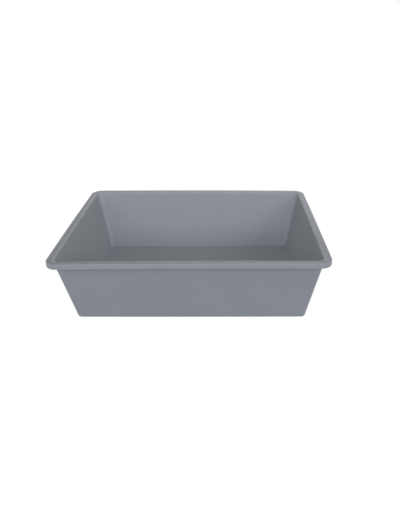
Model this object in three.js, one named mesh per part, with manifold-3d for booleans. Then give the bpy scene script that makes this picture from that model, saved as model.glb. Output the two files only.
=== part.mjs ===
// A plain open litter tray for a cat: one injection moulding in polypropylene.
// Millimetres, +Z up. The origin is the centre of the face that the tray stands on.
// X runs along the long sides, and Y along the short ones.
//
// The moulding is lofted. One section through floor, wall and rim is drawn once, its corners
// are rounded, and each of its points is carried round the tray as a rounded rectangle.

import * as THREE from 'three';
import { mergeVertices } from 'three/addons/utils/BufferGeometryUtils.js';
import Module from 'manifold-3d';

// Overall size, measured over the lip of the rim
const length = 400;
const width = 300;
const height = 106;

// Wall: the lean is how far its outer face draws in between the rim and the foot
const wallLean = 20.5;
const wallThickness = 1.8;
const wallCornerRadius = 9;

// Floor, and the foot bead that lifts its underside off the ground
const floorThickness = 2;
const floorFillet = 2;
const footCornerRadius = 6;
const footFillet = 2.5;
const footBeadWidth = 8;
const footBeadHeight = 1.2;
const footBeadFillet = 0.6;

// Rim: a flat flange turned down into a skirt, hollow underneath
const rimOverhang = 9;
const rimThickness = 1.8;
const rimCornerRadius = 17.5;
const rimInnerRadius = 3.2;
const rimOuterRadius = 1.5;
const skirtDepth = 7.8;
const skirtThickness = 1.5;
const skirtFlare = 0.4;
const lipFillet = 0.5;
const channelFillet = 1;

// Webs across the hollow of the rim, which stiffen it and keep nested trays from jamming
const webSpacing = 60;
const webThickness = 1.3;
const webLipClearance = 2.2;
const webFall = 1.5;

// Stub left where the plastic entered the mould, in the middle of the underside
const gateDiameter = 6;
const gateHeight = 0.6;

// How far a joined feature reaches into the body that carries it
const weld = 0.6;

// Sharpest plan corner that the mould has, where fillets use up a corner's radius
const smallestCornerRadius = 0.5;

// Fineness of the round stretches
const filletSteps = 4;
const cornerSteps = 10;
const gateSides = 24;

// Longest tangent that a fillet may take, as a share of the side that it rounds off
const tangentShare = 0.48;

// Values worked out from the ones above
const lipLevel = height - skirtDepth;
const rimUnderside = height - rimThickness;
const floorTop = footBeadHeight + floorThickness;
const wallRun = wallThickness * Math.hypot(1, wallLean / height);

// Inset of the wall's outer face from the edge of the lip, at a level
function wallInset(level) {
  return rimOverhang + wallLean * (1 - level / height);
}

// Inset of the skirt's inner face at a level
function skirtInnerInset(level) {
  return skirtThickness + skirtFlare * (level - lipLevel) / skirtDepth;
}

// Plan corner radius of a point of the section. On the wall's outer face it goes from the
// foot's radius to the wall's. Inward it shrinks as an offset does, so the wall keeps its
// gauge round the corner, and outward it grows to the rim's radius.
function planCornerRadius(inset, level) {
  const onWall = THREE.MathUtils.lerp(footCornerRadius, wallCornerRadius, level / height);
  const inward = inset - wallInset(level);
  if (inward < 0) return onWall - inward * (rimCornerRadius - wallCornerRadius) / rimOverhang;
  return Math.max(onWall - inward, smallestCornerRadius);
}

// Corners of the section from the floor, up the inside, over the rim, and down the outside
// to the underside. Each is an inset, a level and the fillet that rounds it.
function sectionCorners() {
  const innerAt = (level) => wallInset(level) + wallRun;
  return [
    [innerAt(floorTop), floorTop, floorFillet],
    [innerAt(height), height, rimInnerRadius],
    [skirtFlare, height, rimOuterRadius],
    [0, lipLevel, lipFillet],
    [skirtThickness, lipLevel, lipFillet],
    [skirtInnerInset(rimUnderside), rimUnderside, channelFillet],
    [wallInset(rimUnderside), rimUnderside, channelFillet],
    [wallInset(0), 0, footFillet],
    [wallInset(0) + footBeadWidth, 0, footBeadFillet],
    [wallInset(0) + footBeadWidth + footBeadHeight, footBeadHeight, footBeadFillet],
  ].map(([inset, level, radius]) => ({ point: new THREE.Vector2(inset, level), radius }));
}

// Points of the arc that rounds a corner and touches the sides to both of its neighbours
function filletPoints(before, corner, after, radius) {
  const back = before.clone().sub(corner);
  const ahead = after.clone().sub(corner);
  const halfAngle = back.angleTo(ahead) / 2;
  const room = tangentShare * Math.min(back.length(), ahead.length());
  const tangent = Math.min(radius / Math.tan(halfAngle), room);
  const fittedRadius = tangent * Math.tan(halfAngle);
  const turn = Math.sign(ahead.cross(back)) * (Math.PI - 2 * halfAngle);
  const bisector = back.normalize().clone().add(ahead.normalize()).normalize();
  const centre = corner.clone().addScaledVector(bisector, fittedRadius / Math.sin(halfAngle));
  const start = corner.clone().addScaledVector(back, tangent);
  return Array.from({ length: filletSteps + 1 }, (_, step) =>
    start.clone().rotateAround(centre, turn * step / filletSteps));
}

// The section with every corner rounded. Its two ends run on level to the tray's middle.
function roundedSection() {
  const corners = sectionCorners();
  const middle = width / 2;
  const first = new THREE.Vector2(middle, corners[0].point.y);
  const last = new THREE.Vector2(middle, corners[corners.length - 1].point.y);
  return corners.flatMap(({ point, radius }, index) => {
    const before = index === 0 ? first : corners[index - 1].point;
    const after = index === corners.length - 1 ? last : corners[index + 1].point;
    return filletPoints(before, point, after, radius);
  });
}

// A rounded rectangle at a level, anticlockwise from above
function ring(inset, level) {
  const radius = planCornerRadius(inset, level);
  const acrossX = length / 2 - inset - radius;
  const acrossY = width / 2 - inset - radius;
  const points = [];
  for (const [signX, signY, quarter] of [[1, 1, 0], [-1, 1, 1], [-1, -1, 2], [1, -1, 3]]) {
    for (let step = 0; step <= cornerSteps; step += 1) {
      const angle = (quarter + step / cornerSteps) * Math.PI / 2;
      points.push(new THREE.Vector3(
        signX * acrossX + radius * Math.cos(angle),
        signY * acrossY + radius * Math.sin(angle),
        level,
      ));
    }
  }
  return points;
}

// A closed surface through the rings, with both ends filled towards their middles
function loft(rings) {
  const around = rings[0].length;
  const startMiddle = rings.length * around;
  const endMiddle = startMiddle + 1;
  const lastRing = (rings.length - 1) * around;
  const points = rings.flat();
  points.push(new THREE.Vector3(0, 0, rings[0][0].z));
  points.push(new THREE.Vector3(0, 0, rings[rings.length - 1][0].z));
  const indices = [];
  for (let place = 0; place < around; place += 1) {
    const next = (place + 1) % around;
    indices.push(startMiddle, place, next);
    indices.push(endMiddle, lastRing + next, lastRing + place);
    for (let row = 0; row < lastRing; row += around) {
      indices.push(row + place, row + around + place, row + around + next);
      indices.push(row + place, row + around + next, row + next);
    }
  }
  const geometry = new THREE.BufferGeometry().setFromPoints(points);
  geometry.setIndex(indices);
  return geometry;
}

// Tray without its webs and gate stub
function shellGeometry() {
  return loft(roundedSection().map((point) => ring(point.x, point.y)));
}

// One web under the rim. It stands clear of the lip and falls towards the wall.
function webGeometry(side, along) {
  const lipEnd = lipLevel + webLipClearance;
  const wallEnd = lipEnd - webFall;
  const outline = new THREE.Shape([
    new THREE.Vector2(-skirtInnerInset(lipEnd) + weld, lipEnd),
    new THREE.Vector2(-wallInset(wallEnd) - weld, wallEnd),
    new THREE.Vector2(-wallInset(rimUnderside) - weld, rimUnderside + weld),
    new THREE.Vector2(-skirtInnerInset(rimUnderside) + weld, rimUnderside + weld),
  ]);
  const geometry = new THREE.ExtrudeGeometry(outline, { depth: webThickness, bevelEnabled: false });
  geometry.rotateX(Math.PI / 2);
  geometry.translate(side.reach, along + webThickness / 2, 0);
  geometry.rotateZ(side.angle);
  return geometry;
}

// Webs along the straight stretches of all four sides, evenly spaced
function webGeometries() {
  const geometries = [];
  for (let quarter = 0; quarter < 4; quarter += 1) {
    const reach = (quarter % 2 === 0 ? length : width) / 2;
    const straight = (quarter % 2 === 0 ? width : length) - 2 * rimCornerRadius;
    const side = { reach, angle: quarter * Math.PI / 2 };
    const count = Math.max(1, Math.floor(straight / webSpacing));
    for (let index = 0; index < count; index += 1) {
      geometries.push(webGeometry(side, straight * ((index + 0.5) / count - 0.5)));
    }
  }
  return geometries;
}

// Gate stub, hanging from the recessed underside and clear of the ground
function gateGeometry() {
  const radius = gateDiameter / 2;
  const geometry = new THREE.CylinderGeometry(radius, radius, gateHeight + weld, gateSides);
  geometry.rotateX(Math.PI / 2);
  geometry.translate(0, 0, footBeadHeight + (weld - gateHeight) / 2);
  return geometry;
}

const wasm = await Module();
wasm.setup();

// A closed three.js geometry as a solid that can be joined
function toSolid(source) {
  const geometry = source.clone();
  geometry.deleteAttribute('normal');
  geometry.deleteAttribute('uv');
  const merged = mergeVertices(geometry);
  const vertProperties = new Float32Array(merged.attributes.position.array);
  const triVerts = new Uint32Array(merged.index.array);
  return new wasm.Manifold(new wasm.Mesh({ numProp: 3, vertProperties, triVerts }));
}

// A joined solid back as a three.js geometry
function toGeometry(solid) {
  const { vertProperties, triVerts } = solid.getMesh();
  const geometry = new THREE.BufferGeometry();
  geometry.setAttribute('position', new THREE.BufferAttribute(vertProperties, 3));
  geometry.setIndex(new THREE.BufferAttribute(triVerts, 1));
  geometry.computeVertexNormals();
  return geometry;
}

// The whole moulding: shell, webs and gate stub in one piece, as it leaves the mould
function litterTray() {
  const features = [...webGeometries(), gateGeometry()];
  const solid = features.reduce(
    (body, feature) => body.add(toSolid(feature)),
    toSolid(shellGeometry()),
  );
  const plastic = new THREE.MeshStandardMaterial({ color: 0x858993, roughness: 0.42, metalness: 0 });
  const mesh = new THREE.Mesh(toGeometry(solid), plastic);
  mesh.name = 'litter_tray';
  return mesh;
}

const tray = new THREE.Group();
tray.add(litterTray());

export default tray;
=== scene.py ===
"""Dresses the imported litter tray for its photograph: a plain open tray for a cat, one moulding in
cool grey plastic, on a white studio floor.

Everything is in metres, in the part's own frame: X runs along the long sides, Z is up, and the
origin is the middle of the face that the tray stands on. The file is laid out as an add-on, and
is run as a script.
"""

import math

import bpy
import numpy as np
from bpy.props import FloatProperty, FloatVectorProperty, PointerProperty
from mathutils import Euler, Matrix, Vector


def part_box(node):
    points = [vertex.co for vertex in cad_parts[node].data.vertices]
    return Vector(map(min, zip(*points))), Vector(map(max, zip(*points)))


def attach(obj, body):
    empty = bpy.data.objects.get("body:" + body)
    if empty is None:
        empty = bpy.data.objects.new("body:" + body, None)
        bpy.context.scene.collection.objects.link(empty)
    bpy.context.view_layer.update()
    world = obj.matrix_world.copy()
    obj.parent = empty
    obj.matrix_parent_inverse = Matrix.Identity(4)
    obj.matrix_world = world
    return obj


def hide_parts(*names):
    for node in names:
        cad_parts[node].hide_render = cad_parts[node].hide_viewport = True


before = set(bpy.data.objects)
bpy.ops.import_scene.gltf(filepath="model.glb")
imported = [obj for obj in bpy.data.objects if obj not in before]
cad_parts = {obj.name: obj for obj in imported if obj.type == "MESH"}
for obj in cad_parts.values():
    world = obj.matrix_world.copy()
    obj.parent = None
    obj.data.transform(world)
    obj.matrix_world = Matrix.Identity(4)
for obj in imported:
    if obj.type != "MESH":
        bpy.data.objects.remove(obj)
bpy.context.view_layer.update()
TRAY_LOW, TRAY_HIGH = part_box("litter_tray")

bl_info = {
    "name": "Litter tray",
    "version": (1, 0, 0),
    "blender": (4, 5, 0),
    "location": "3D View > Sidebar > Tray",
    "description": "A moulded litter tray and the studio that it stands in",
    "category": "Add Mesh",
}

MM = 0.001
BODY = "root"
CAD_NODE = "litter_tray"

# Fineness of the surfaces: the shell's fillets, plan corners, straight stretches and rings of its
# floor and underside, then the gate stub and the webs
FILLET_STEPS = 12
CORNER_STEPS = 22
SECTION_STRAIGHT_POINTS = 7
SIDE_STRAIGHT_POINTS = 15
CAP_RINGS = 12
STUB_SIDES = 48
STUB_FILLET_STEPS = 6
WEB_BEVEL_STEPS = 2

# Attributes that tell the plastic where its edges are rubbed and lightened with a painted highlight,
# where dust and painted shade darken it, and where a painted warm light tints the floor
RUBBED_AND_HIGHLIGHT = "rubbed"
DUST_AND_SHADE = "dust"
FLOOR_WARM_LIGHT = "littered"

# How far each edge of the section is rubbed and lightened with a painted highlight, most of all on the
# mouth and the rim's outer edge
MOUTH_RUBBED_AND_HIGHLIGHT_SHARE = 0.7
RIM_EDGE_RUBBED_AND_HIGHLIGHT_SHARE = 1
LIP_RUBBED_SHARE = 0.8
INNER_LIP_RUBBED_SHARE = 0.3
FOOT_RUBBED_SHARE = 0.8
BEAD_RUBBED_SHARE = 0.6

# How much the painted shade on the rim changes from the middle of the tray to a side: darker at the front
# left, lighter at the rear right
SHADE_SLOPE_SHARE = 0.8

# The two waves that the cooled walls stray along: radians to each half length, half width and
# height of the tray, and the radians at which the first one starts
WAVE_ALONG = 5
WAVE_DEEP = 2.3
WAVE_START = 1.1
CROSS_WAVE_DEEP = 4
CROSS_WAVE_UP = 3


def length_property(name, description, default):
    """A size in metres, as a user would set it."""
    return FloatProperty(name=name, description=description, default=default, unit="LENGTH", precision=5)


class TraySizes(bpy.types.PropertyGroup):
    """Sizes of the moulding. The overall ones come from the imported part."""

    length: length_property("Length", "Over the lip of the rim, along X", TRAY_HIGH.x - TRAY_LOW.x)
    width: length_property("Width", "Over the lip of the rim, along Y", TRAY_HIGH.y - TRAY_LOW.y)
    height: length_property("Height", "From the ground to the top of the rim", TRAY_HIGH.z)
    wall_lean: length_property("Wall lean", "How far the walls draw in from rim to foot", 20.5 * MM)
    wall_thickness: length_property("Wall thickness", "Square to the wall", 1.8 * MM)
    wall_corner: length_property("Wall corner", "Plan radius of the wall at the rim", 9 * MM)
    inside_corner: length_property("Inside corner", "Plan radius inside the walls", 9 * MM)
    floor_thickness: length_property("Floor thickness", "Gauge of the floor", 2 * MM)
    floor_fillet: length_property("Floor fillet", "Between the floor and the inside of the walls", 2 * MM)
    foot_corner: length_property("Foot corner", "Plan radius of the wall at the foot", 6 * MM)
    foot_fillet: length_property("Foot fillet", "Between the outside of the walls and the foot", 2.5 * MM)
    bead_width: length_property("Bead width", "Foot bead round the underside", 8 * MM)
    bead_height: length_property("Bead height", "How far the bead lifts the floor", 1.2 * MM)
    bead_fillet: length_property("Bead fillet", "On the bead's inner edges", 0.6 * MM)
    rim_overhang: length_property("Rim overhang", "From the wall to the edge of the lip", 9 * MM)
    rim_thickness: length_property("Rim thickness", "Gauge of the flange", 1.8 * MM)
    rim_corner: length_property("Rim corner", "Plan radius of the lip", 17.5 * MM)
    rim_inner_radius: length_property("Rim inner radius", "Over the top of the walls", 3.2 * MM)
    rim_outer_radius: length_property("Rim outer radius", "Over the top of the skirt", 1 * MM)
    skirt_depth: length_property("Skirt depth", "From the rim's top to the lip", 7.8 * MM)
    skirt_thickness: length_property("Skirt thickness", "Gauge of the skirt", 1.5 * MM)
    skirt_flare: length_property("Skirt flare", "How far the skirt leans out at the lip", 0.4 * MM)
    lip_fillet: length_property("Lip fillet", "On both edges of the lip", 0.5 * MM)
    channel_fillet: length_property("Channel fillet", "In the hollow under the rim", 1 * MM)
    web_spacing: length_property("Web spacing", "Least distance between the webs under the rim", 60 * MM)
    web_thickness: length_property("Web thickness", "Gauge of a web", 1.3 * MM)
    web_bevel: length_property("Web bevel", "On the edges of a web", 0.2 * MM)
    web_clearance: length_property("Web clearance", "How far a web stops above the lip", 2.2 * MM)
    web_fall: length_property("Web fall", "How much lower a web ends at the wall", 1.5 * MM)
    gate_diameter: length_property("Gate diameter", "Stub where the plastic came in", 6 * MM)
    gate_height: length_property("Gate height", "How far the stub stands off the underside", 0.6 * MM)
    gate_fillet: length_property("Gate fillet", "On the edge of the stub", 0.2 * MM)
    weld: length_property("Weld", "How far webs and stub reach into the shell", 0.6 * MM)
    rim_sag: length_property("Rim sag", "How much lower the rim is at its corners", 0.9 * MM)
    rim_twist: length_property("Rim twist", "How far one diagonal of the rim lifts", 0.6 * MM)
    foot_lift: length_property("Foot lift", "How far the foot's corners clear the ground", 0.6 * MM)
    floor_dish: length_property("Floor dish", "How much lower the floor is in its middle", 0.4 * MM)
    wall_wander: length_property("Wall wander", "How far the cooled walls stray inwards", 0.15 * MM)


class TrayFinish(bpy.types.PropertyGroup):
    """Colours and surface of the plastic."""

    plastic: FloatVectorProperty(
        name="Plastic", description="Cool grey of the pigment", subtype="COLOR",
        default=(0.240, 0.252, 0.284), min=0, max=1)
    # The rubbed colour is lighter than the plastic: wear from rubbing, with a painted highlight on the
    # edges
    rubbed: FloatVectorProperty(
        name="Rubbed and highlighted plastic", description="Colour of rubbed edges with a painted highlight", subtype="COLOR",
        default=(0.296, 0.308, 0.340), min=0, max=1)
    # The dusty colour is darker than the plastic: dust with painted shade in creases, under the rim and
    # on its flat top
    dusty_and_shaded: FloatVectorProperty(
        name="Dusty and shaded plastic", description="Colour of dust and painted shade on the rim and in creases",
        subtype="COLOR", default=(0.180, 0.186, 0.200), min=0, max=1)
    # This colour is a painted warm light: it tints the whole floor warmer and less blue
    littered: FloatVectorProperty(
        name="Warm lit floor plastic", description="Colour of the floor's painted warm light",
        subtype="COLOR", default=(0.240, 0.246, 0.259), min=0, max=1)
    roughness: FloatProperty(
        name="Roughness", description="Of the plain moulded surface", default=0.5, subtype="FACTOR")
    grain: length_property("Grain", "Depth of the fine grain that the mould leaves", 0.006 * MM)
    ripple: length_property("Ripple", "Depth of the slow ripples that cooling leaves", 0.03 * MM)


class StudioSettings(bpy.types.PropertyGroup):
    """Floor and light of the studio."""

    floor_size: length_property("Floor size", "Side of the square floor", 12.0)
    floor_colour: FloatVectorProperty(
        name="Floor colour", description="White paper", subtype="COLOR", default=(0.30, 0.30, 0.30))
    paper_glow: FloatProperty(
        name="Paper glow", description="Strength at which the camera sees the lit paper", default=1.2)
    shadow_keep: FloatProperty(
        name="Shadow kept", description="Share of the floor that still shows shadow", default=0.2,
        subtype="FACTOR")
    sky_strength: FloatProperty(
        name="Sky strength", description="Even light from all round", default=0.3)
    front_power: FloatProperty(
        name="Front power", description="Watts of the lamp over the camera", default=757.0)
    left_front_power: FloatProperty(
        name="Left front power", description="Watts of the lamp left of the camera", default=154.0)
    right_front_power: FloatProperty(
        name="Right front power", description="Watts of the lamp right of the camera", default=364.0)
    left_power: FloatProperty(
        name="Left power", description="Watts of the lamp at the left", default=270.0)
    right_power: FloatProperty(
        name="Right power", description="Watts of the lamp at the right", default=342.0)
    back_power: FloatProperty(
        name="Back power", description="Watts of the low lamp behind the tray", default=225.0)


# Section of the shell


def wall_inset(sizes, level):
    """Inset of the wall's outer face from the edge of the lip: the rim's overhang, plus the lean
    times the share of the height that is left above the level."""
    return sizes.rim_overhang + sizes.wall_lean * (1 - level / sizes.height)


def wall_run(sizes):
    """Level distance through the leaning wall: its thickness times the root of one plus the
    square of its lean over its height."""
    return sizes.wall_thickness * math.hypot(1, sizes.wall_lean / sizes.height)


def skirt_inset(sizes, level):
    """Inset of the skirt's inner face: its thickness, plus the flare times the share of the
    skirt's depth that the level lies above the lip."""
    above_lip = level - (sizes.height - sizes.skirt_depth)
    return sizes.skirt_thickness + sizes.skirt_flare * above_lip / sizes.skirt_depth


def section_corners(sizes):
    """Corners of the section, from the floor up the inside, over the rim and down the outside to
    the underside. Each has its fillet, how far rubbing lightens it with a painted highlight,
    how far dust and painted shade darken it, and how far they darken the straight stretch that
    follows it. The corners are given as inset + i level."""
    lip = sizes.height - sizes.skirt_depth
    rim_under = sizes.height - sizes.rim_thickness
    floor_top = sizes.bead_height + sizes.floor_thickness
    floor_edge = wall_inset(sizes, floor_top) + wall_run(sizes)
    mouth = wall_inset(sizes, sizes.height) + wall_run(sizes)
    foot = wall_inset(sizes, 0)
    bead_edge = foot + sizes.bead_width
    # The floor's fillet, the channel under the rim and the bead's inner edge take dust and painted shade
    # in their creases, and the rim's flat top takes painted shade; the mouth and the rim's outer edge
    # take painted highlights
    rows = [
        (floor_edge, floor_top, sizes.floor_fillet, 0, 1, 0),
        (mouth, sizes.height, sizes.rim_inner_radius, MOUTH_RUBBED_AND_HIGHLIGHT_SHARE, 0, 1),
        (sizes.skirt_flare, sizes.height, sizes.rim_outer_radius, RIM_EDGE_RUBBED_AND_HIGHLIGHT_SHARE, 0, 0),
        (0, lip, sizes.lip_fillet, LIP_RUBBED_SHARE, 0, 0),
        (sizes.skirt_thickness, lip, sizes.lip_fillet, INNER_LIP_RUBBED_SHARE, 0, 0),
        (skirt_inset(sizes, rim_under), rim_under, sizes.channel_fillet, 0, 1, 0),
        (wall_inset(sizes, rim_under), rim_under, sizes.channel_fillet, 0, 1, 0),
        (foot, 0, sizes.foot_fillet, FOOT_RUBBED_SHARE, 0, 0),
        (bead_edge, 0, sizes.bead_fillet, BEAD_RUBBED_SHARE, 0, 0),
        (bead_edge + sizes.bead_height, sizes.bead_height, sizes.bead_fillet, 0, 1, 0),
    ]
    inset, level, *others = np.array(rows, float).T
    return inset + 1j * level, *others


def gathered_shares(count):
    """Shares of a straight stretch, gathered towards both of its ends: t squared over t squared
    plus (1 - t) squared, for evenly spaced t between 0 and 1."""
    t = np.arange(1, count + 1) / (count + 1)
    return t**2 / (t**2 + (1 - t) ** 2)


def rounded_section(sizes):
    """The section as points inset + i level, each with its share of rubbing with a painted
    highlight and its share of dust with painted shade.

    Every corner becomes an arc. With b and a the unit vectors from it to its neighbours and h
    half the angle between them, the centre lies r / sin h along b + a, the arc starts r / tan h
    along b, and it turns through pi - 2h. The stretches between the arcs are straight, and none
    follows the last arc. On an arc the shares rise and fall as half a sine wave."""
    corners, radius, rubbed, dust, dust_and_shade_after = section_corners(sizes)
    inwards = sizes.width / 2
    before = np.concatenate([[inwards + 1j * corners[0].imag], corners[:-1]])
    after = np.concatenate([corners[1:], [inwards + 1j * corners[-1].imag]])
    back = (before - corners) / abs(before - corners)
    ahead = (after - corners) / abs(after - corners)
    half = abs(np.angle(ahead / back)) / 2
    turn = -np.sign(np.angle(ahead / back)) * (np.pi - 2 * half)
    centre = corners + (back + ahead) / abs(back + ahead) * radius / np.sin(half)
    start = corners + back * radius / np.tan(half)
    t = np.linspace(0, 1, FILLET_STEPS + 1)
    arcs = centre[:, None] + (start - centre)[:, None] * np.exp(1j * turn[:, None] * t)
    shares = gathered_shares(SECTION_STRAIGHT_POINTS)
    following = np.roll(arcs[:, 0], -1)
    straights = arcs[:, -1:] + (following - arcs[:, -1])[:, None] * shares
    on_arcs = np.concatenate([np.sin(np.pi * t), 0 * shares])
    on_straights = np.concatenate([0 * t, 0 * shares + 1])
    columns = (
        np.concatenate([arcs, straights], axis=1),
        rubbed[:, None] * on_arcs,
        dust[:, None] * on_arcs + dust_and_shade_after[:, None] * on_straights,
    )
    return tuple(column.ravel()[:-len(shares)] for column in columns)


# Plan of the shell


def plan_corner_radius(sizes, inset, level):
    """Plan radius of the corner at each point of the section.

    On the wall's outer face it goes evenly from the foot's radius to the wall's with the level.
    Through the wall it goes evenly to the inside corner's own radius, so the wall is thicker at
    the corners. Outwards it grows evenly to the rim's radius at the edge of the lip."""
    on_wall = sizes.foot_corner + (sizes.wall_corner - sizes.foot_corner) * level / sizes.height
    inward = inset - wall_inset(sizes, level)
    growth = (sizes.rim_corner - sizes.wall_corner) / sizes.rim_overhang
    through = np.clip(inward / wall_run(sizes), 0, 1)
    inside = on_wall + (sizes.inside_corner - on_wall) * through
    return np.where(inward < 0, on_wall - inward * growth, inside)


def plan_rings(sizes, inset, level):
    """Rounded rectangles as points x + i y, one row for each point of the section.

    Each corner is an arc of a quarter turn about its own centre, and each side is straight
    between two arcs."""
    radius = plan_corner_radius(sizes, inset, level)[:, None, None]
    half_length = sizes.length / 2 - inset[:, None, None] - radius
    half_width = sizes.width / 2 - inset[:, None, None] - radius
    quarter = np.arange(4)[:, None]
    middle = (quarter + 0.5) * np.pi / 2
    turn = (quarter + np.linspace(0, 1, CORNER_STEPS + 1)) * np.pi / 2
    centre = np.sign(np.cos(middle)) * half_length + 1j * np.sign(np.sin(middle)) * half_width
    arcs = centre + radius * np.exp(1j * turn)
    following = np.roll(arcs[:, :, :1], -1, axis=1)
    sides = arcs[:, :, -1:] + (following - arcs[:, :, -1:]) * gathered_shares(SIDE_STRAIGHT_POINTS)
    return np.concatenate([arcs, sides], axis=2).reshape(len(inset), -1)


# Closed surfaces of rings


def ring_points(plan, level):
    """Points of rings x + i y, each at its level, then a pole in the middle of the first ring
    and one in the middle of the last."""
    levels = np.repeat(level, plan.shape[1])
    points = np.column_stack([plan.real.ravel(), plan.imag.ravel(), levels])
    return np.concatenate([points, [[0, 0, level[0]], [0, 0, level[-1]]]])


def ring_faces(rows, around):
    """Faces of a closed surface of rings, each anticlockwise from above, which run outwards over
    its top and inwards under it: quads between neighbours on two rings, and triangles between
    the first and last rings and their poles."""
    index = np.arange(rows * around).reshape(rows, around)
    beside = np.roll(index, -1, axis=1)
    quads = np.stack([index[:-1], index[1:], beside[1:], beside[:-1]], axis=-1).reshape(-1, 4)
    first_pole = np.full(around, rows * around)
    triangles = np.concatenate([
        np.column_stack([first_pole, index[0], beside[0]]),
        np.column_stack([first_pole + 1, beside[-1], index[-1]])])
    return quads, triangles


def tray_shares(sizes, points):
    """x, y and z of points, as shares of the tray's half length, half width and height."""
    return points.T / np.array([[sizes.length / 2], [sizes.width / 2], [sizes.height]])


def settle(sizes, points):
    """The moulding as it has cooled, from the one that was drawn.

    The rim drops towards its corners by the sag times the squares of x, y and z, each as a
    share of its greatest. It twists by the twist times x, y and z, and is then lowered by the
    most that this lifts it, twist squared over four sags. The foot rises at its corners by the
    lift times the squares of x and y and what is left of z. The floor drops in its middle by
    the dish times 1 - x squared times 1 - y squared, as shares of the floor. The walls stray
    inwards by the wander times z and half of one plus the product of two slow waves."""
    across, deep, up = tray_shares(sizes, points)
    foot = wall_inset(sizes, 0) + sizes.bead_width + sizes.bead_height
    floor_across = points[:, 0] / (sizes.length / 2 - foot)
    floor_deep = points[:, 1] / (sizes.width / 2 - foot)
    floor_share = np.clip(1 - floor_across**2, 0, 1) * np.clip(1 - floor_deep**2, 0, 1)
    wave = np.sin(WAVE_ALONG * across + WAVE_DEEP * deep + WAVE_START)
    cross_wave = np.cos(CROSS_WAVE_DEEP * deep - CROSS_WAVE_UP * up)
    wander_share = (1 + wave * cross_wave) / 2
    drawn_in = 1 - sizes.wall_wander * wander_share * up / (sizes.width / 2)
    moved = points.copy()
    moved[:, 0] *= drawn_in
    moved[:, 1] *= drawn_in
    moved[:, 2] -= sizes.rim_sag * across**2 * deep**2 * up**2
    moved[:, 2] -= sizes.rim_twist * across * deep * up
    moved[:, 2] -= sizes.rim_twist**2 / (4 * sizes.rim_sag) * up
    moved[:, 2] += sizes.foot_lift * across**2 * deep**2 * (1 - up)
    moved[:, 2] -= sizes.floor_dish * floor_share
    return moved


# Pieces

NO_TRIANGLES = np.zeros((0, 3), int)


def shell_surface(sizes):
    """The shell as one closed surface: the section carried round the tray on rounded
    rectangles, and at both of its ends rings that shrink evenly to a pole in the middle.

    Returns the points, quads and triangles, and the shares that mark the points, by the names
    of their attributes."""
    section, rubbed, dust = rounded_section(sizes)
    rings = plan_rings(sizes, section.real, section.imag)
    shrink = np.arange(1, CAP_RINGS) / CAP_RINGS
    floor_rings = shrink[:, None] * rings[0]
    under_rings = shrink[::-1, None] * rings[-1]
    plan = np.concatenate([floor_rings, rings, under_rings])
    floor_level = np.full(len(shrink), section[0].imag)
    under_level = np.full(len(shrink), section[-1].imag)
    level = np.concatenate([floor_level, section.imag, under_level])
    points = settle(sizes, ring_points(plan, level))
    marks = shell_marks(sizes, points, rubbed, dust)
    return points, *ring_faces(*plan.shape), marks


def shell_marks(sizes, points, rubbed, dust):
    """Shares that mark the shell's points, by the names of their attributes.

    Rubbing lightens the edges with a painted highlight, stronger at the right, where more light
    falls: the section's share is scaled by the squared sine of a quarter turn along the length.
    Dust and painted shade darken the rim at the front left more than at the rear right: the
    section's share is scaled by one less the slope times x plus y, times z, as shares of the
    tray's size. A painted warm light tints the whole floor."""
    across, deep, up = tray_shares(sizes, points)
    # Painted highlight stronger at the right, and painted shade on the rim stronger at the front left
    right_highlight = np.sin(np.pi / 4 * (1 + across)) ** 2
    front_left_shade = np.clip(1 - SHADE_SLOPE_SHARE * (across + deep) * up, 0, None)
    nowhere = 0 * rubbed
    return {
        RUBBED_AND_HIGHLIGHT: spread_share(0, rubbed, len(points)) * right_highlight,
        DUST_AND_SHADE: spread_share(0, dust, len(points)) * front_left_shade,
        FLOOR_WARM_LIGHT: spread_share(1, nowhere, len(points)),
    }


def spread_share(on_floor, on_section, point_count):
    """A share for each of the shell's points, its poles last, from one for the floor's rings and
    one for each ring of the section. The underside's rings have none."""
    cap = np.ones(CAP_RINGS - 1)
    on_rings = np.concatenate([on_floor * cap, on_section, 0 * cap])
    return np.append(np.repeat(on_rings, point_count // len(on_rings)), [on_floor, 0])


def web_surfaces(sizes):
    """The webs under the rim, each a closed plate of eight points.

    A plate's outline has four corners, inset + i level. Its two faces lie half a thickness to
    each side of its place along the straight stretch of its wall. A quarter turn for each side
    of the tray carries the plates round it."""
    lip_end = sizes.height - sizes.skirt_depth + sizes.web_clearance
    wall_end = lip_end - sizes.web_fall
    top = sizes.height - sizes.rim_thickness
    outline = np.array([
        skirt_inset(sizes, lip_end) - sizes.weld + 1j * lip_end,
        wall_inset(sizes, wall_end) + sizes.weld + 1j * wall_end,
        wall_inset(sizes, top) + sizes.weld + 1j * (top + sizes.weld),
        skirt_inset(sizes, top) - sizes.weld + 1j * (top + sizes.weld),
    ])
    plates = []
    for quarter in range(4):
        sides = (sizes.length, sizes.width) if quarter % 2 == 0 else (sizes.width, sizes.length)
        straight = sides[1] - 2 * sizes.rim_corner
        count = max(1, int(straight // sizes.web_spacing))
        place = straight * ((np.arange(count) + 0.5) / count - 0.5)
        faces = place[:, None] + np.array([-0.5, 0.5]) * sizes.web_thickness
        plan = sides[0] / 2 - outline.real + 1j * faces[:, :, None]
        plan = plan * 1j**quarter
        level = np.broadcast_to(outline.imag, plan.shape)
        plates.append(np.stack([plan.real, plan.imag, level], axis=-1).reshape(-1, 3))
    points = settle(sizes, np.concatenate(plates))
    plate_faces = np.array([
        [3, 2, 1, 0], [4, 5, 6, 7], [1, 5, 4, 0], [2, 6, 5, 1], [3, 7, 6, 2], [0, 4, 7, 3]])
    starts = np.arange(0, len(points), outline.size * 2)
    quads = (starts[:, None, None] + plate_faces).reshape(-1, 4)
    return points, quads


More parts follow.
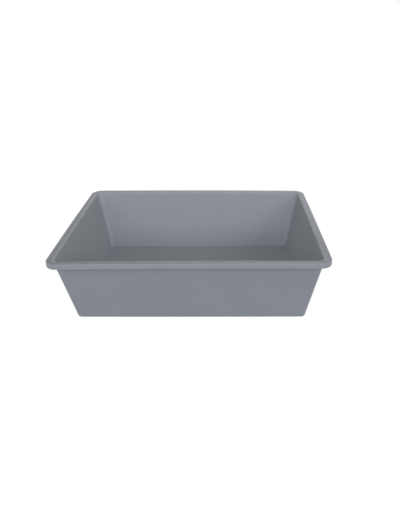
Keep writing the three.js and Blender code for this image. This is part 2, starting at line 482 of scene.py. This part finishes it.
def stub_surface(sizes):
    """The gate stub as a turned shape: a profile of radius and level, from its end inside the
    floor down its side and in over a quarter round to the middle of its face, carried round
    the axis. Returns its points, quads and triangles."""
    low = sizes.bead_height - sizes.gate_height
    radius = sizes.gate_diameter / 2
    t = np.linspace(1, 0, STUB_FILLET_STEPS + 1) * np.pi / 2
    edge_radius = radius - sizes.gate_fillet + sizes.gate_fillet * np.sin(t)
    edge_level = low + sizes.gate_fillet * (1 - np.cos(t))
    profile_radius = np.concatenate([[radius], edge_radius, [radius / 2]])
    profile_level = np.concatenate([[sizes.bead_height + sizes.weld], edge_level, [low]])
    turn = np.exp(2j * np.pi * np.arange(STUB_SIDES) / STUB_SIDES)
    plan = profile_radius[:, None] * turn
    points = settle(sizes, ring_points(plan, profile_level))
    return points, *ring_faces(*plan.shape)


def add_piece(name, points, quads, triangles, smooth):
    """A mesh object at the origin, with its place in its mesh."""
    loops = np.concatenate([quads.ravel(), triangles.ravel()]).astype(np.int32)
    quad_starts = np.arange(len(quads)) * 4
    triangle_starts = quads.size + np.arange(len(triangles)) * 3
    mesh = bpy.data.meshes.new(name)
    mesh.vertices.add(len(points))
    mesh.vertices.foreach_set("co", points.astype(np.float32).ravel())
    mesh.loops.add(len(loops))
    mesh.loops.foreach_set("vertex_index", loops)
    mesh.polygons.add(len(quads) + len(triangles))
    mesh.polygons.foreach_set("loop_start", np.concatenate([quad_starts, triangle_starts]))
    mesh.polygons.foreach_set("use_smooth", np.full(len(mesh.polygons), smooth))
    mesh.update(calc_edges=True)
    mesh.validate()
    piece = bpy.data.objects.new(name, mesh)
    bpy.context.scene.collection.objects.link(piece)
    return piece


def add_share(piece, name, values):
    """A number for each point of a piece, which its material reads by name."""
    attribute = piece.data.attributes.new(name, "FLOAT", "POINT")
    attribute.data.foreach_set("value", values.astype(np.float32))


# Materials

PLASTIC = "moulded_plastic"

# How polypropylene bends light, and how strongly its satin surface mirrors
PLASTIC_IOR = 1.49
PLASTIC_GLOSS = 0.4

# The plastic's noises: the size of a cell, and how many finer layers it has
CLOUDS = (45 * MM, 3)
SPECKS = (0.9 * MM, 2)
PATCHES = (11 * MM, 4)
SCRATCHES = (1.1 * MM, 3)
GRAIN = (0.5 * MM, 2)
RIPPLE = (38 * MM, 1)

# Values of a noise between which a mark grows from nothing to its full strength
SCRATCH_STEP = (0.6, 0.72)
WEAR_AND_HIGHLIGHT_STEP = (0.3, 0.7)

# Fine scratches run along the tray, so their noise is drawn out along X
SCRATCH_STRETCH = (0.06, 1.0, 1.0)

# Dust with painted shade, and the floor's painted warm light: how much they vary with the patches, and
# what lies even where those are 0
PATCHY_SHARE = 0.4
EVEN_DUST_AND_SHADE_SHARE = 0.2
EVEN_WARM_LIGHT_SHARE = 0.3

# How far marks change the plastic's colour and shade; the rubbing's lightening is partly a painted
# highlight, and the dust's darkening is also painted shade
WEAR_AND_HIGHLIGHT_COLOUR_SHARE = 0.55
DUST_AND_SHADE_COLOUR_SHARE = 0.65
CLOUD_SHADE_SHARE = 0.10
SPECK_SHADE_SHARE = 0.05

# How far they change its roughness
PATCH_ROUGH_SHARE = 0.10
CLOUD_ROUGH_SHARE = 0.06
SCRATCH_ROUGH_SHARE = 0.05
DUST_ROUGH_SHARE = 0.2
WORN_POLISH_SHARE = 0.08

# The paper's tooth: the noise's cell and finer layers, and its depth
PAPER_TOOTH = (1.5 * MM, 3)
PAPER_TOOTH_DEPTH = 0.02 * MM

WHITE = (1, 1, 1, 1)

# Distance of a Bump node whose height is in metres
BUMP_METRES = 1.0

# Sockets of Blender's Mix node for colours, which share their names with other sockets
MIX_FACTOR = 0
MIX_COLOUR_A = 6
MIX_COLOUR_B = 7
MIX_COLOUR_OUT = 2
MIX_FULLY = 1.0


class Nodes:
    """The node tree of a material or of the world, cleared of Blender's own start."""

    def __init__(self, owner):
        owner.use_nodes = True
        self.tree = owner.node_tree
        self.tree.nodes.clear()

    def add(self, kind, settings, sockets, output=0):
        """One node: its settings first, then the values or wires of its sockets. Gives a wire
        from one of its outputs, if it has any."""
        node = self.tree.nodes.new(kind)
        for name, value in settings.items():
            setattr(node, name, value)
        for name, value in sockets.items():
            if isinstance(value, Wire):
                self.tree.links.new(value.socket, node.inputs[name])
            else:
                node.inputs[name].default_value = value
        return Wire(self, node.outputs[output]) if node.outputs else None


class Wire:
    """A shader socket in a sum: an operator on it adds the Math node that works the sum out."""

    def __init__(self, nodes, socket):
        self.nodes = nodes
        self.socket = socket

    def math(self, operation, first, second):
        """One Math node on two values or wires."""
        return self.nodes.add("ShaderNodeMath", {"operation": operation}, {0: first, 1: second})

    def __add__(self, other):
        return self.math("ADD", self, other)

    def __mul__(self, other):
        return self.math("MULTIPLY", self, other)

    def __sub__(self, other):
        return self.math("SUBTRACT", self, other)

    def __rsub__(self, other):
        return self.math("SUBTRACT", other, self)

    __radd__ = __add__
    __rmul__ = __mul__


def mix_colours(nodes, factor, first, second, blend="MIX"):
    """A colour between two, or blended from them, by a factor."""
    return nodes.add(
        "ShaderNodeMix", {"data_type": "RGBA", "blend_type": blend},
        {MIX_FACTOR: factor, MIX_COLOUR_A: first, MIX_COLOUR_B: second}, MIX_COLOUR_OUT)


def noise(nodes, place, cell, layers):
    """Noise from 0 to 1 at a place, with cells of a real size and a number of finer layers."""
    return nodes.add(
        "ShaderNodeTexNoise", {}, {"Vector": place, "Scale": 1 / cell, "Detail": layers}, "Fac")


def stepped(nodes, value, low, high):
    """0 below the low value, 1 above the high one, and smooth between."""
    return nodes.add(
        "ShaderNodeMapRange", {"interpolation_type": "SMOOTHSTEP"},
        {"Value": value, "From Min": low, "From Max": high}, "Result")


def moulded_plastic(finish):
    """Satin polypropylene: an even pigment with faint clouds and specks, a fine grain from the
    mould, slow ripples from cooling, hair scratches, edges that rubbing has polished and
    lightened with a painted highlight, dust with painted shade, and a painted warm light on the
    floor."""
    material = bpy.data.materials.new(PLASTIC)
    nodes = Nodes(material)
    place = nodes.add("ShaderNodeTexCoord", {}, {}, "Object")
    drawn_out = nodes.add("ShaderNodeMapping", {}, {"Vector": place, "Scale": SCRATCH_STRETCH})
    rubbed, dust, littered = (
        nodes.add("ShaderNodeAttribute", {"attribute_name": name}, {}, "Fac")
        for name in (RUBBED_AND_HIGHLIGHT, DUST_AND_SHADE, FLOOR_WARM_LIGHT))
    clouds = noise(nodes, place, *CLOUDS)
    specks = noise(nodes, place, *SPECKS)
    patches = noise(nodes, place, *PATCHES)
    scratches = stepped(nodes, noise(nodes, drawn_out, *SCRATCHES), *SCRATCH_STEP)
    # Rubbed edges lighten as wear and painted highlight, dust darkens as painted shade, and the floor
    # takes a painted warm tint
    wear_and_highlight = rubbed * stepped(nodes, patches, *WEAR_AND_HIGHLIGHT_STEP)
    dusty_and_shaded = dust * (patches * PATCHY_SHARE + EVEN_DUST_AND_SHADE_SHARE)
    warm_floor_tint = littered * (patches * PATCHY_SHARE + EVEN_WARM_LIGHT_SHARE)
    tints = (
        (wear_and_highlight * WEAR_AND_HIGHLIGHT_COLOUR_SHARE, finish.rubbed),
        (dusty_and_shaded * DUST_AND_SHADE_COLOUR_SHARE, finish.dusty_and_shaded),
        (warm_floor_tint, finish.littered),
    )
    colour = (*finish.plastic, 1)
    for share, tint in tints:
        colour = mix_colours(nodes, share, colour, (*tint, 1))
    shade = 1 + (clouds - 0.5) * CLOUD_SHADE_SHARE + (specks - 0.5) * SPECK_SHADE_SHARE
    grey = nodes.add("ShaderNodeCombineColor", {}, {"Red": shade, "Green": shade, "Blue": shade})
    colour = mix_colours(nodes, MIX_FULLY, colour, grey, "MULTIPLY")
    roughness = finish.roughness + (patches - 0.5) * PATCH_ROUGH_SHARE
    roughness += (clouds - 0.5) * CLOUD_ROUGH_SHARE + scratches * SCRATCH_ROUGH_SHARE
    roughness += dusty_and_shaded * DUST_ROUGH_SHARE - wear_and_highlight * WORN_POLISH_SHARE
    height = noise(nodes, place, *GRAIN) * finish.grain
    height += noise(nodes, place, *RIPPLE) * finish.ripple - scratches * (finish.grain / 2)
    bump = nodes.add("ShaderNodeBump", {}, {"Height": height, "Distance": BUMP_METRES})
    surface = nodes.add(
        "ShaderNodeBsdfPrincipled", {},
        {"Base Color": colour, "Roughness": roughness, "Normal": bump, "IOR": PLASTIC_IOR,
         "Specular IOR Level": PLASTIC_GLOSS})
    nodes.add("ShaderNodeOutputMaterial", {}, {"Surface": surface})
    return material


def tray_material(finish):
    """The tray's plastic, made once and shared by its pieces."""
    return bpy.data.materials.get(PLASTIC) or moulded_plastic(finish)


def seen_directly(nodes):
    """1 for rays from the camera and for the ones that gloss or glass sends on, 0 for light."""
    camera, glossy, through = (
        nodes.add("ShaderNodeLightPath", {}, {}, name)
        for name in ("Is Camera Ray", "Is Glossy Ray", "Is Transmission Ray"))
    seen = camera.math("MAXIMUM", camera, glossy)
    return seen.math("MAXIMUM", seen, through)


def white_paper(studio):
    """Matt white paper. What looks at it sees it lit to white, with a share of its shadow."""
    material = bpy.data.materials.new("white_paper")
    nodes = Nodes(material)
    place = nodes.add("ShaderNodeTexCoord", {}, {}, "Object")
    tooth = noise(nodes, place, *PAPER_TOOTH)
    bump = nodes.add("ShaderNodeBump", {}, {"Height": tooth, "Distance": PAPER_TOOTH_DEPTH})
    paper = nodes.add(
        "ShaderNodeBsdfDiffuse", {}, {"Color": (*studio.floor_colour, 1), "Normal": bump})
    glow = nodes.add("ShaderNodeEmission", {}, {"Color": WHITE, "Strength": studio.paper_glow})
    factor = seen_directly(nodes) * (1 - studio.shadow_keep)
    surface = nodes.add("ShaderNodeMixShader", {}, {0: factor, 1: paper, 2: glow})
    nodes.add("ShaderNodeOutputMaterial", {}, {"Surface": surface})
    return material


# Studio

PLAIN_WHITE = (1.0, 1.0, 1.0)
COOL_WHITE = (0.94, 0.96, 1.0)
WARM_WHITE = (1.0, 0.96, 0.80)
LAMP_SIZE = 5.0
LAMP_DISTANCE = 12.0
SEEN_SKY_STRENGTH = 1.0

# The lamps by where they stand, which also names the setting of their watts: the colour of each,
# its bearing in degrees to the right of the tray's front, and its height in degrees above the floor
LAMPS = {
    "front": (COOL_WHITE, 0, 25),
    "left_front": (PLAIN_WHITE, -40, 28),
    "right_front": (COOL_WHITE, 40, 28),
    "left": (WARM_WHITE, -95, 25),
    "right": (WARM_WHITE, 95, 25),
    "back": (PLAIN_WHITE, 180, 2),
}

# Photograph's frame, and its camera: the focal length and the point that it looks at, in pixels
# of that frame, then where it stands and how it is turned
PHOTO_WIDTH = 400
PHOTO_HEIGHT = 506
FOCAL_PIXELS = 496.98
CENTRE_PIXEL = (220.54, 225.0)
CAMERA_PLACE = (48.90 * MM, -748.57 * MM, 425.63 * MM)
CAMERA_DOWN_DEGREES = 23.61
CAMERA_RIGHT_DEGREES = -0.397
CAMERA_ROLL_DEGREES = -0.2785
SENSOR_WIDTH_MM = 36.0


def add_lamp(name, power, colour, bearing, height):
    """A square soft lamp that faces the tray. Its bearing is in degrees to the right of the
    tray's front, and its height in degrees above the floor."""
    light = bpy.data.lights.new(name, "AREA")
    light.energy = power
    light.color = colour
    light.shape = "SQUARE"
    light.size = LAMP_SIZE
    lamp = bpy.data.objects.new(name, light)
    bpy.context.scene.collection.objects.link(lamp)
    turn = Euler((math.radians(90 - height), 0, math.radians(bearing)))
    lamp.rotation_euler = turn
    lamp.location = (TRAY_LOW + TRAY_HIGH) / 2 + turn.to_matrix() @ Vector((0, 0, LAMP_DISTANCE))


def light_world(studio):
    """An even sky that lights at its own strength and is seen as plain white."""
    world = bpy.data.worlds.new("studio_sky")
    nodes = Nodes(world)
    light = nodes.add(
        "ShaderNodeBackground", {}, {"Color": WHITE, "Strength": studio.sky_strength})
    seen = nodes.add(
        "ShaderNodeBackground", {}, {"Color": WHITE, "Strength": SEEN_SKY_STRENGTH})
    surface = nodes.add("ShaderNodeMixShader", {}, {0: seen_directly(nodes), 1: light, 2: seen})
    nodes.add("ShaderNodeOutputWorld", {}, {"Surface": surface})
    bpy.context.scene.world = world


def add_camera():
    """The photograph's camera. Its shift carries the picture's middle to the point that the
    camera looks at, as shares of the frame's long side."""
    lens = bpy.data.cameras.new("camera")
    lens.sensor_width = SENSOR_WIDTH_MM
    lens.lens = FOCAL_PIXELS / PHOTO_HEIGHT * SENSOR_WIDTH_MM
    lens.shift_x = (PHOTO_WIDTH / 2 - CENTRE_PIXEL[0]) / PHOTO_HEIGHT
    lens.shift_y = (CENTRE_PIXEL[1] - PHOTO_HEIGHT / 2) / PHOTO_HEIGHT
    camera = bpy.data.objects.new("camera", lens)
    bpy.context.scene.collection.objects.link(camera)
    camera.location = CAMERA_PLACE
    tilt = math.radians(90 - CAMERA_DOWN_DEGREES)
    turn = Euler((tilt, 0, -math.radians(CAMERA_RIGHT_DEGREES))).to_matrix()
    roll = Matrix.Rotation(math.radians(CAMERA_ROLL_DEGREES), 3, "Z")
    camera.rotation_euler = (turn @ roll).to_euler()
    bpy.context.scene.camera = camera


# Operators


def dress(context, piece):
    """Gives a piece of the tray its plastic, hangs it on the body that it rides on, and hides the
    imported part.
    """
    piece.data.materials.append(tray_material(context.scene.tray_finish))
    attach(piece, BODY)
    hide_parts(CAD_NODE)


class LITTERTRAY_OT_shell(bpy.types.Operator):
    """Adds the tray's shell: floor, walls, rim, skirt and foot bead in one closed surface."""

    bl_idname = "litter_tray.shell"
    bl_label = "Tray shell"

    def execute(self, context):
        points, quads, triangles, marks = shell_surface(context.scene.tray_sizes)
        piece = add_piece("tray_shell", points, quads, triangles, True)
        for name, values in marks.items():
            add_share(piece, name, values)
        dress(context, piece)
        return {"FINISHED"}


class LITTERTRAY_OT_webs(bpy.types.Operator):
    """Adds the webs that stiffen the rim from underneath."""

    bl_idname = "litter_tray.webs"
    bl_label = "Rim webs"

    def execute(self, context):
        sizes = context.scene.tray_sizes
        points, quads = web_surfaces(sizes)
        piece = add_piece("rim_webs", points, quads, NO_TRIANGLES, False)
        bevel = piece.modifiers.new("bevel", "BEVEL")
        bevel.width = sizes.web_bevel
        bevel.segments = WEB_BEVEL_STEPS
        dress(context, piece)
        return {"FINISHED"}


class LITTERTRAY_OT_gate_stub(bpy.types.Operator):
    """Adds the stub that the mould's gate leaves in the middle of the underside."""

    bl_idname = "litter_tray.gate_stub"
    bl_label = "Gate stub"

    def execute(self, context):
        points, quads, triangles = stub_surface(context.scene.tray_sizes)
        piece = add_piece("gate_stub", points, quads, triangles, True)
        dress(context, piece)
        return {"FINISHED"}


class LITTERTRAY_OT_studio(bpy.types.Operator):
    """Adds the white floor, the sky, the lamps and the photograph's camera."""

    bl_idname = "litter_tray.studio"
    bl_label = "Studio"

    def execute(self, context):
        studio = context.scene.tray_studio
        corners = studio.floor_size / 2 * np.array([[-1, -1, 0], [1, -1, 0], [1, 1, 0], [-1, 1, 0]])
        floor = add_piece("studio_floor", corners, np.array([[0, 1, 2, 3]]), NO_TRIANGLES, False)
        floor.data.materials.append(white_paper(studio))
        for name, placing in LAMPS.items():
            add_lamp(f"{name}_lamp", getattr(studio, f"{name}_power"), *placing)
        light_world(studio)
        add_camera()
        context.scene.view_settings.view_transform = "Standard"
        return {"FINISHED"}


class LITTERTRAY_PT_panel(bpy.types.Panel):
    """Lists the pieces and their sizes in the 3D view's sidebar."""

    bl_idname = "LITTERTRAY_PT_panel"
    bl_label = "Litter tray"
    bl_space_type = "VIEW_3D"
    bl_region_type = "UI"
    bl_category = "Tray"

    def draw(self, context):
        for operator in OPERATORS:
            self.layout.operator(operator.bl_idname)
        for group in SCENE_GROUPS:
            settings = getattr(context.scene, group)
            for name in settings.bl_rna.properties.keys():
                if name not in ("rna_type", "name"):
                    self.layout.prop(settings, name)


OPERATORS = (LITTERTRAY_OT_shell, LITTERTRAY_OT_webs, LITTERTRAY_OT_gate_stub, LITTERTRAY_OT_studio)
SCENE_GROUPS = {
    "tray_sizes": TraySizes,
    "tray_finish": TrayFinish,
    "tray_studio": StudioSettings,
}


def register():
    """Makes the settings, the operators and the panel known to Blender."""
    for name, group in SCENE_GROUPS.items():
        bpy.utils.register_class(group)
        setattr(bpy.types.Scene, name, PointerProperty(type=group))
    for kind in (*OPERATORS, LITTERTRAY_PT_panel):
        bpy.utils.register_class(kind)


def unregister():
    """Undoes register, last things first."""
    for kind in (LITTERTRAY_PT_panel, *reversed(OPERATORS)):
        bpy.utils.unregister_class(kind)
    for name, group in reversed(SCENE_GROUPS.items()):
        delattr(bpy.types.Scene, name)
        bpy.utils.unregister_class(group)


def main():
    """Builds the whole scene."""
    register()
    bpy.ops.litter_tray.shell()
    bpy.ops.litter_tray.webs()
    bpy.ops.litter_tray.gate_stub()
    bpy.ops.litter_tray.studio()


if __name__ == "__main__":
    main()
